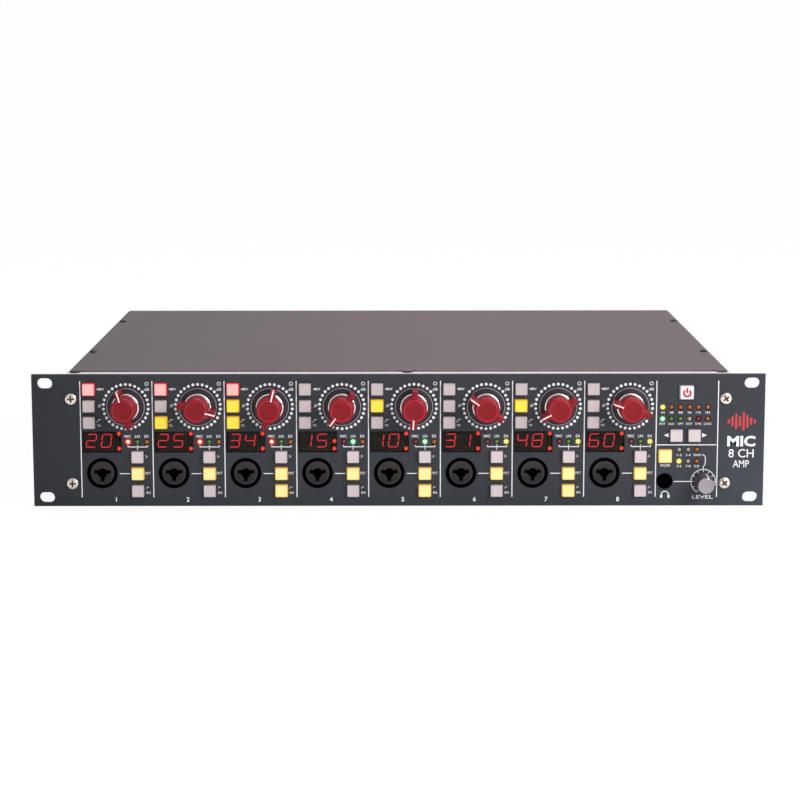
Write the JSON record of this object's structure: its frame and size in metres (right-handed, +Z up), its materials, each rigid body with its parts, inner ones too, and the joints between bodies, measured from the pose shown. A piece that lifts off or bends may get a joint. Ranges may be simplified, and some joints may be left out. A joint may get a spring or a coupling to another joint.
{
  "type": "rack microphone preamplifier",
  "caption": "Rack-mount multichannel microphone preamplifier with red gain knobs, lit buttons, numeric level displays and combined jack sockets.",
  "frame": {"origin": "centre of the rack-slot pattern on the rear (mounting) face of the front panel", "axes": "+X to the right seen from the front, +Y to the rear, +Z up; the controls face -Y"},
  "size_m": [0.4826, 0.3855, 0.0895],
  "materials": {
    "panel_paint": "satin powder coat, dark slate grey",
    "frame_zinc": "bright zinc plate, light grey",
    "chassis_steel": "galvanised sheet",
    "cover_paint": "dark satin coat",
    "rear_paint": "dark satin coat",
    "screw_steel": "polished plated steel",
    "screw_black": "black oxide",
    "smoked_window": "smoked acrylic, satin",
    "display_body": "black display housing",
    "lamp_lens": "tinted resin lens",
    "switch_plastic": "moulded black",
    "control_metal": "plated brass and steel",
    "socket_black": "moulded black nylon",
    "phones_socket": "black ring nut",
    "board": "solder mask over laminate",
    "supply": "tray, board and wound parts",
    "xlr_shell": "black plated zinc",
    "dsub_shell": "tin plate",
    "inlet_plastic": "moulded black",
    "knob_red": "gloss red over a polished ring",
    "knob_grey": "soft grey",
    "cap_off": "translucent grey cap, unlit",
    "cap_pink": "translucent cap, lit red behind",
    "cap_yellow": "translucent cap, lit yellow",
    "cap_amber": "translucent cap, lit pale amber",
    "cap_white": "translucent cap, lit white"
  },
  "bodies": {
    "case": {"front_panel": "panel_paint", "front_frame": "frame_zinc", "base_chassis": "chassis_steel", "top_cover": "cover_paint", "rear_panel": "rear_paint", "panel_screws": "screw_steel", "case_screws": "screw_black", "display_windows": "smoked_window", "display_modules": "display_body", "indicator_leds": "lamp_lens", "button_switches": "switch_plastic", "rotary_controls": "control_metal", "combo_jacks": "socket_black", "phones_jack": "phones_socket", "control_board": "board", "main_board": "board", "power_supply": "supply", "rear_xlr_sockets": "xlr_shell", "dsub_sockets": "dsub_shell", "power_inlet": "inlet_plastic"},
    "arrow_button_left_body": {"arrow_button_left": "cap_off"},
    "arrow_button_right_body": {"arrow_button_right": "cap_off"},
    "filter_button_1_body": {"filter_button_1": "cap_off"},
    "filter_button_2_body": {"filter_button_2": "cap_yellow"},
    "filter_button_3_body": {"filter_button_3": "cap_yellow"},
    "filter_button_4_body": {"filter_button_4": "cap_off"},
    "filter_button_5_body": {"filter_button_5": "cap_off"},
    "filter_button_6_body": {"filter_button_6": "cap_off"},
    "filter_button_7_body": {"filter_button_7": "cap_off"},
    "filter_button_8_body": {"filter_button_8": "cap_off"},
    "gain_knob_1_body": {"gain_knob_1": "knob_red"},
    "gain_knob_2_body": {"gain_knob_2": "knob_red"},
    "gain_knob_3_body": {"gain_knob_3": "knob_red"},
    "gain_knob_4_body": {"gain_knob_4": "knob_red"},
    "gain_knob_5_body": {"gain_knob_5": "knob_red"},
    "gain_knob_6_body": {"gain_knob_6": "knob_red"},
    "gain_knob_7_body": {"gain_knob_7": "knob_red"},
    "gain_knob_8_body": {"gain_knob_8": "knob_red"},
    "impedance_buttons_body": {"impedance_buttons": "cap_off"},
    "input_buttons_body": {"input_buttons": "cap_amber"},
    "level_knob_body": {"level_knob": "knob_grey"},
    "monitor_button_body": {"monitor_button": "cap_amber"},
    "phantom_button_1_body": {"phantom_button_1": "cap_pink"},
    "phantom_button_2_body": {"phantom_button_2": "cap_pink"},
    "phantom_button_3_body": {"phantom_button_3": "cap_pink"},
    "phantom_button_4_body": {"phantom_button_4": "cap_off"},
    "phantom_button_5_body": {"phantom_button_5": "cap_off"},
    "phantom_button_6_body": {"phantom_button_6": "cap_off"},
    "phantom_button_7_body": {"phantom_button_7": "cap_off"},
    "phantom_button_8_body": {"phantom_button_8": "cap_off"},
    "phase_button_1_body": {"phase_button_1": "cap_off"},
    "phase_button_2_body": {"phase_button_2": "cap_off"},
    "phase_button_3_body": {"phase_button_3": "cap_yellow"},
    "phase_button_4_body": {"phase_button_4": "cap_off"},
    "phase_button_5_body": {"phase_button_5": "cap_yellow"},
    "phase_button_6_body": {"phase_button_6": "cap_off"},
    "phase_button_7_body": {"phase_button_7": "cap_yellow"},
    "phase_button_8_body": {"phase_button_8": "cap_off"},
    "power_button_body": {"power_button": "cap_white"},
    "source_buttons_body": {"source_buttons": "cap_off"}
  },
  "joints": [
    {"name": "arrow_button_left_press", "type": "slide", "parent": "case", "child": "arrow_button_left_body", "axis": [0, 1, 0], "range_m": [0, 0.0012], "stiffness_N_per_m": 400, "springref_m": -0.0005},
    {"name": "arrow_button_right_press", "type": "slide", "parent": "case", "child": "arrow_button_right_body", "axis": [0, 1, 0], "range_m": [0, 0.0012], "stiffness_N_per_m": 400, "springref_m": -0.0005},
    {"name": "filter_button_1_press", "type": "slide", "parent": "case", "child": "filter_button_1_body", "axis": [0, 1, 0], "range_m": [0, 0.0012], "stiffness_N_per_m": 400, "springref_m": -0.0005},
    {"name": "filter_button_2_press", "type": "slide", "parent": "case", "child": "filter_button_2_body", "axis": [0, 1, 0], "range_m": [0, 0.0012], "stiffness_N_per_m": 400, "springref_m": -0.0005},
    {"name": "filter_button_3_press", "type": "slide", "parent": "case", "child": "filter_button_3_body", "axis": [0, 1, 0], "range_m": [0, 0.0012], "stiffness_N_per_m": 400, "springref_m": -0.0005},
    {"name": "filter_button_4_press", "type": "slide", "parent": "case", "child": "filter_button_4_body", "axis": [0, 1, 0], "range_m": [0, 0.0012], "stiffness_N_per_m": 400, "springref_m": -0.0005},
    {"name": "filter_button_5_press", "type": "slide", "parent": "case", "child": "filter_button_5_body", "axis": [0, 1, 0], "range_m": [0, 0.0012], "stiffness_N_per_m": 400, "springref_m": -0.0005},
    {"name": "filter_button_6_press", "type": "slide", "parent": "case", "child": "filter_button_6_body", "axis": [0, 1, 0], "range_m": [0, 0.0012], "stiffness_N_per_m": 400, "springref_m": -0.0005},
    {"name": "filter_button_7_press", "type": "slide", "parent": "case", "child": "filter_button_7_body", "axis": [0, 1, 0], "range_m": [0, 0.0012], "stiffness_N_per_m": 400, "springref_m": -0.0005},
    {"name": "filter_button_8_press", "type": "slide", "parent": "case", "child": "filter_button_8_body", "axis": [0, 1, 0], "range_m": [0, 0.0012], "stiffness_N_per_m": 400, "springref_m": -0.0005},
    {"name": "gain_knob_1_turn", "type": "hinge", "parent": "case", "child": "gain_knob_1_body", "pos_m": [-0.1794, -0.003, 0.02265], "axis": [0, 1, 0], "continuous": true},
    {"name": "gain_knob_2_turn", "type": "hinge", "parent": "case", "child": "gain_knob_2_body", "pos_m": [-0.13199, -0.003, 0.02265], "axis": [0, 1, 0], "continuous": true},
    {"name": "gain_knob_3_turn", "type": "hinge", "parent": "case", "child": "gain_knob_3_body", "pos_m": [-0.08458, -0.003, 0.02265], "axis": [0, 1, 0], "continuous": true},
    {"name": "gain_knob_4_turn", "type": "hinge", "parent": "case", "child": "gain_knob_4_body", "pos_m": [-0.03717, -0.003, 0.02265], "axis": [0, 1, 0], "continuous": true},
    {"name": "gain_knob_5_turn", "type": "hinge", "parent": "case", "child": "gain_knob_5_body", "pos_m": [0.01024, -0.003, 0.02265], "axis": [0, 1, 0], "continuous": true},
    {"name": "gain_knob_6_turn", "type": "hinge", "parent": "case", "child": "gain_knob_6_body", "pos_m": [0.05765, -0.003, 0.02265], "axis": [0, 1, 0], "continuous": true},
    {"name": "gain_knob_7_turn", "type": "hinge", "parent": "case", "child": "gain_knob_7_body", "pos_m": [0.10506, -0.003, 0.02265], "axis": [0, 1, 0], "continuous": true},
    {"name": "gain_knob_8_turn", "type": "hinge", "parent": "case", "child": "gain_knob_8_body", "pos_m": [0.15247, -0.003, 0.02265], "axis": [0, 1, 0], "continuous": true},
    {"name": "impedance_buttons_press", "type": "slide", "parent": "case", "child": "impedance_buttons_body", "axis": [0, 1, 0], "range_m": [0, 0.0012], "stiffness_N_per_m": 400, "springref_m": -0.0005},
    {"name": "input_buttons_press", "type": "slide", "parent": "case", "child": "input_buttons_body", "axis": [0, 1, 0], "range_m": [0, 0.0012], "stiffness_N_per_m": 400, "springref_m": -0.0005},
    {"name": "level_knob_turn", "type": "hinge", "parent": "case", "child": "level_knob_body", "pos_m": [0.2015, -0.003, -0.02775], "axis": [0, 1, 0], "range_deg": [-165, 135]},
    {"name": "monitor_button_press", "type": "slide", "parent": "case", "child": "monitor_button_body", "axis": [0, 1, 0], "range_m": [0, 0.0012], "stiffness_N_per_m": 400, "springref_m": -0.0005},
    {"name": "phantom_button_1_press", "type": "slide", "parent": "case", "child": "phantom_button_1_body", "axis": [0, 1, 0], "range_m": [0, 0.0012], "stiffness_N_per_m": 400, "springref_m": -0.0005},
    {"name": "phantom_button_2_press", "type": "slide", "parent": "case", "child": "phantom_button_2_body", "axis": [0, 1, 0], "range_m": [0, 0.0012], "stiffness_N_per_m": 400, "springref_m": -0.0005},
    {"name": "phantom_button_3_press", "type": "slide", "parent": "case", "child": "phantom_button_3_body", "axis": [0, 1, 0], "range_m": [0, 0.0012], "stiffness_N_per_m": 400, "springref_m": -0.0005},
    {"name": "phantom_button_4_press", "type": "slide", "parent": "case", "child": "phantom_button_4_body", "axis": [0, 1, 0], "range_m": [0, 0.0012], "stiffness_N_per_m": 400, "springref_m": -0.0005},
    {"name": "phantom_button_5_press", "type": "slide", "parent": "case", "child": "phantom_button_5_body", "axis": [0, 1, 0], "range_m": [0, 0.0012], "stiffness_N_per_m": 400, "springref_m": -0.0005},
    {"name": "phantom_button_6_press", "type": "slide", "parent": "case", "child": "phantom_button_6_body", "axis": [0, 1, 0], "range_m": [0, 0.0012], "stiffness_N_per_m": 400, "springref_m": -0.0005},
    {"name": "phantom_button_7_press", "type": "slide", "parent": "case", "child": "phantom_button_7_body", "axis": [0, 1, 0], "range_m": [0, 0.0012], "stiffness_N_per_m": 400, "springref_m": -0.0005},
    {"name": "phantom_button_8_press", "type": "slide", "parent": "case", "child": "phantom_button_8_body", "axis": [0, 1, 0], "range_m": [0, 0.0012], "stiffness_N_per_m": 400, "springref_m": -0.0005},
    {"name": "phase_button_1_press", "type": "slide", "parent": "case", "child": "phase_button_1_body", "axis": [0, 1, 0], "range_m": [0, 0.0012], "stiffness_N_per_m": 400, "springref_m": -0.0005},
    {"name": "phase_button_2_press", "type": "slide", "parent": "case", "child": "phase_button_2_body", "axis": [0, 1, 0], "range_m": [0, 0.0012], "stiffness_N_per_m": 400, "springref_m": -0.0005},
    {"name": "phase_button_3_press", "type": "slide", "parent": "case", "child": "phase_button_3_body", "axis": [0, 1, 0], "range_m": [0, 0.0012], "stiffness_N_per_m": 400, "springref_m": -0.0005},
    {"name": "phase_button_4_press", "type": "slide", "parent": "case", "child": "phase_button_4_body", "axis": [0, 1, 0], "range_m": [0, 0.0012], "stiffness_N_per_m": 400, "springref_m": -0.0005},
    {"name": "phase_button_5_press", "type": "slide", "parent": "case", "child": "phase_button_5_body", "axis": [0, 1, 0], "range_m": [0, 0.0012], "stiffness_N_per_m": 400, "springref_m": -0.0005},
    {"name": "phase_button_6_press", "type": "slide", "parent": "case", "child": "phase_button_6_body", "axis": [0, 1, 0], "range_m": [0, 0.0012], "stiffness_N_per_m": 400, "springref_m": -0.0005},
    {"name": "phase_button_7_press", "type": "slide", "parent": "case", "child": "phase_button_7_body", "axis": [0, 1, 0], "range_m": [0, 0.0012], "stiffness_N_per_m": 400, "springref_m": -0.0005},
    {"name": "phase_button_8_press", "type": "slide", "parent": "case", "child": "phase_button_8_body", "axis": [0, 1, 0], "range_m": [0, 0.0012], "stiffness_N_per_m": 400, "springref_m": -0.0005},
    {"name": "power_button_press", "type": "slide", "parent": "case", "child": "power_button_body", "axis": [0, 1, 0], "range_m": [0, 0.0012], "stiffness_N_per_m": 400, "springref_m": -0.0005},
    {"name": "source_buttons_press", "type": "slide", "parent": "case", "child": "source_buttons_body", "axis": [0, 1, 0], "range_m": [0, 0.0012], "stiffness_N_per_m": 400, "springref_m": -0.0005}
  ]
}
